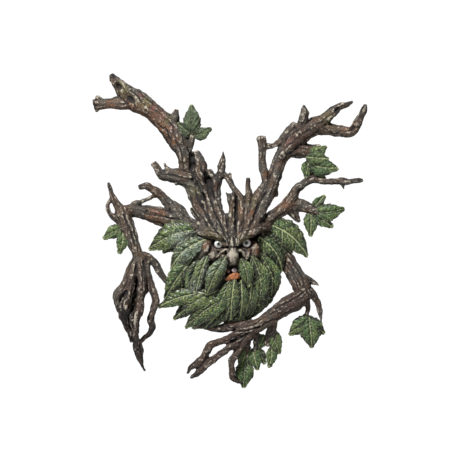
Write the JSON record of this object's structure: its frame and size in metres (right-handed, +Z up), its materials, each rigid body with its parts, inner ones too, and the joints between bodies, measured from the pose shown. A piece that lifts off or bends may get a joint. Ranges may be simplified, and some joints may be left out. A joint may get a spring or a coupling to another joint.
{
  "type": "tree face sculpture",
  "caption": "Wall sculpture of an angry bark face with a beard of leaves, a crown of gnarled branches and two branch arms with long fingers, cast in one piece.",
  "frame": {"origin": "on the flat back, behind the bridge of the nose, where the casting rests on the wall", "axes": "+Z up along the height, +Y into the wall, so that the face looks along -Y"},
  "size_m": [0.5522, 0.1141, 0.6276],
  "materials": {
    "painted_resin": "painted cast resin: bark in browns under a dark wash, leaves in dark green with pale veins, low sheen"
  },
  "bodies": {
    "root": {"tree_face": "painted_resin"}
  },
  "joints": []
}
